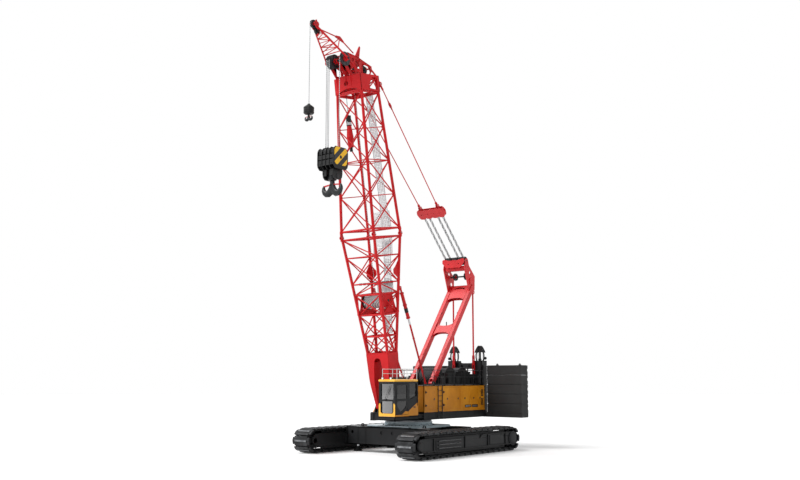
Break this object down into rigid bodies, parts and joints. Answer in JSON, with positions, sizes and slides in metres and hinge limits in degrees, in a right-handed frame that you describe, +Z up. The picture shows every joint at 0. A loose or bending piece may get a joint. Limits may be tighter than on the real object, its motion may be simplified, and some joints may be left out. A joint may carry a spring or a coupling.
{
  "type": "crawler crane",
  "caption": "Tracked crane with a short lattice boom, rear gantry, winches, slab counterweights, cab, main hook block and a fixed jib tip.",
  "frame": {"origin": "bottom centre of the whole crane's box, on the ground between the tracks, 1.147 m in front of the slewing axis", "axes": "+Z up, -Y towards the front where the boom leans, +X to the crane's left side, where the cab is"},
  "size_m": [8.9, 15.5892, 24.0402],
  "materials": {
    "underframe_paint": "satin near-black paint",
    "track_steel": "worn near-black shoes",
    "black_paint": "satin black paint",
    "hook_steel": "black forged steel",
    "ring_steel": "machined",
    "orange_paint": "glossy orange-yellow paint",
    "engine_paint": "satin",
    "pane": "tinted",
    "seat_trim": "woven",
    "weight_paint": "matt dark grey",
    "red_paint": "glossy bright red paint",
    "rope_wire": "bright wire"
  },
  "bodies": {
    "undercarriage": {"track_left": "track_steel", "track_right": "track_steel", "track_frame_left": "underframe_paint", "track_frame_right": "underframe_paint", "drive_sprocket_left": "underframe_paint", "drive_sprocket_right": "underframe_paint", "idler_left": "underframe_paint", "idler_right": "underframe_paint", "carbody": "underframe_paint"},
    "jack_front_left_body": {"jack_front_left": "black_paint"},
    "jack_front_right_body": {"jack_front_right": "black_paint"},
    "jack_rear_left_body": {"jack_rear_left": "black_paint"},
    "jack_rear_right_body": {"jack_rear_right": "black_paint"},
    "superstructure": {"slew_ring": "ring_steel", "slewing_deck": "black_paint", "housing_left": "orange_paint", "housing_right": "orange_paint", "engine_block": "engine_paint", "cab_platform": "black_paint", "cab_shell": "orange_paint", "cab_roof": "orange_paint", "windscreen": "pane", "operator_station": "seat_trim", "winch_frame": "black_paint", "access_ladder": "orange_paint", "counterweight_carrier": "black_paint", "counterweight_stack_left": "weight_paint", "counterweight_stack_right": "weight_paint", "a_frame": "red_paint", "tie_rod_left": "red_paint", "tie_rod_right": "red_paint"},
    "cab_door_body": {"cab_door": "black_paint", "door_glass": "pane"},
    "door_left_front_body": {"door_left_front": "orange_paint"},
    "door_left_rear_body": {"door_left_rear": "orange_paint"},
    "door_right_front_body": {"door_right_front": "orange_paint"},
    "door_right_rear_body": {"door_right_rear": "orange_paint"},
    "main_winch_drum": {"main_winch": "black_paint"},
    "second_winch_drum": {"second_winch": "black_paint"},
    "luffing_winch_drum": {"luffing_winch": "black_paint"},
    "a_frame_sheave_row": {"a_frame_sheaves": "black_paint"},
    "boom": {"boom_base": "red_paint", "boom_top": "red_paint", "boom_head": "red_paint", "backstop_left": "red_paint", "backstop_right": "red_paint", "jib_tip": "red_paint"},
    "boom_drum_body": {"boom_drum": "black_paint"},
    "head_sheave_row": {"head_sheaves": "black_paint"},
    "aux_sheave_body": {"aux_sheave": "black_paint"},
    "suspension": {"pendant_left": "red_paint", "pendant_right": "red_paint", "bridle": "red_paint", "luffing_ropes": "rope_wire"},
    "main_block": {"main_falls": "rope_wire", "main_hook_block": "black_paint"},
    "main_hook_body": {"main_hook": "hook_steel"},
    "aux_block": {"aux_fall": "rope_wire", "aux_hook_block": "black_paint"},
    "aux_hook_body": {"aux_hook": "hook_steel"}
  },
  "joints": [
    {"name": "slew", "type": "hinge", "parent": "undercarriage", "child": "superstructure", "pos_m": [0, 1.14661, 1.81], "axis": [0, 0, 1], "continuous": true},
    {"name": "jack_front_left_slide", "type": "slide", "parent": "undercarriage", "child": "jack_front_left_body", "axis": [0, 0, 1], "range_m": [0, 0.12]},
    {"name": "jack_front_right_slide", "type": "slide", "parent": "undercarriage", "child": "jack_front_right_body", "axis": [0, 0, 1], "range_m": [0, 0.12]},
    {"name": "jack_rear_left_slide", "type": "slide", "parent": "undercarriage", "child": "jack_rear_left_body", "axis": [0, 0, 1], "range_m": [0, 0.12]},
    {"name": "jack_rear_right_slide", "type": "slide", "parent": "undercarriage", "child": "jack_rear_right_body", "axis": [0, 0, 1], "range_m": [0, 0.12]},
    {"name": "boom_luff", "type": "hinge", "parent": "superstructure", "child": "boom", "pos_m": [0, -0.85339, 2.64], "axis": [1, 0, 0], "range_deg": [0, 50]},
    {"name": "suspension_swing", "type": "hinge", "parent": "boom", "child": "suspension", "pos_m": [0, -2.66094, 21.27928], "axis": [1, 0, 0], "range_deg": [-5, 0]},
    {"name": "main_block_swing", "type": "hinge", "parent": "boom", "child": "main_block", "pos_m": [0, -5.22835, 22.20578], "axis": [1, 0, 0], "range_deg": [-50, 0]},
    {"name": "aux_block_swing", "type": "hinge", "parent": "boom", "child": "aux_block", "pos_m": [-0.13, -7.20431, 23.80018], "axis": [1, 0, 0], "range_deg": [-50, 0]},
    {"name": "main_hook_swivel", "type": "hinge", "parent": "main_block", "child": "main_hook_body", "pos_m": [0, -5.65865, 15.25], "axis": [0, 0, 1], "continuous": true},
    {"name": "aux_hook_swivel", "type": "hinge", "parent": "aux_block", "child": "aux_hook_body", "pos_m": [-0.13, -7.46461, 18.57], "axis": [0, 0, 1], "continuous": true},
    {"name": "head_sheaves_turn", "type": "hinge", "parent": "boom", "child": "head_sheave_row", "pos_m": [0, -5.22835, 22.20578], "axis": [1, 0, 0], "continuous": true},
    {"name": "aux_sheave_turn", "type": "hinge", "parent": "boom", "child": "aux_sheave_body", "pos_m": [-0.13, -7.20431, 23.80018], "axis": [1, 0, 0], "continuous": true},
    {"name": "boom_drum_turn", "type": "hinge", "parent": "boom", "child": "boom_drum_body", "pos_m": [0, -1.76555, 8.67141], "axis": [1, 0, 0], "continuous": true},
    {"name": "a_frame_sheaves_turn", "type": "hinge", "parent": "superstructure", "child": "a_frame_sheave_row", "pos_m": [0, 6.14661, 11.75], "axis": [1, 0, 0], "continuous": true},
    {"name": "main_winch_turn", "type": "hinge", "parent": "superstructure", "child": "main_winch_drum", "pos_m": [0, 3.29661, 4.33], "axis": [1, 0, 0], "continuous": true},
    {"name": "second_winch_turn", "type": "hinge", "parent": "superstructure", "child": "second_winch_drum", "pos_m": [0, 4.64661, 4.33], "axis": [1, 0, 0], "continuous": true},
    {"name": "luffing_winch_turn", "type": "hinge", "parent": "superstructure", "child": "luffing_winch_drum", "pos_m": [0, 5.99661, 4.33], "axis": [1, 0, 0], "continuous": true},
    {"name": "cab_door_swing", "type": "hinge", "parent": "superstructure", "child": "cab_door_body", "pos_m": [2.3223, -1.80339, 3.14], "axis": [0, 0, 1], "range_deg": [0, 110]},
    {"name": "door_left_front_swing", "type": "hinge", "parent": "superstructure", "child": "door_left_front_body", "pos_m": [1.6223, 0.69261, 3.075], "axis": [0, 0, -1], "range_deg": [0, 100]},
    {"name": "door_left_rear_swing", "type": "hinge", "parent": "superstructure", "child": "door_left_rear_body", "pos_m": [1.6223, 2.44661, 3.075], "axis": [0, 0, -1], "range_deg": [0, 100]},
    {"name": "door_right_front_swing", "type": "hinge", "parent": "superstructure", "child": "door_right_front_body", "pos_m": [-1.6223, 0.69261, 3.075], "axis": [0, 0, 1], "range_deg": [0, 100]},
    {"name": "door_right_rear_swing", "type": "hinge", "parent": "superstructure", "child": "door_right_rear_body", "pos_m": [-1.6223, 2.44661, 3.075], "axis": [0, 0, 1], "range_deg": [0, 100]}
  ],
  "couplings": [
    {"joint": "suspension_swing", "follows": "boom_luff", "ratio": -0.1},
    {"joint": "main_block_swing", "follows": "boom_luff", "ratio": -1},
    {"joint": "aux_block_swing", "follows": "boom_luff", "ratio": -1}
  ]
}
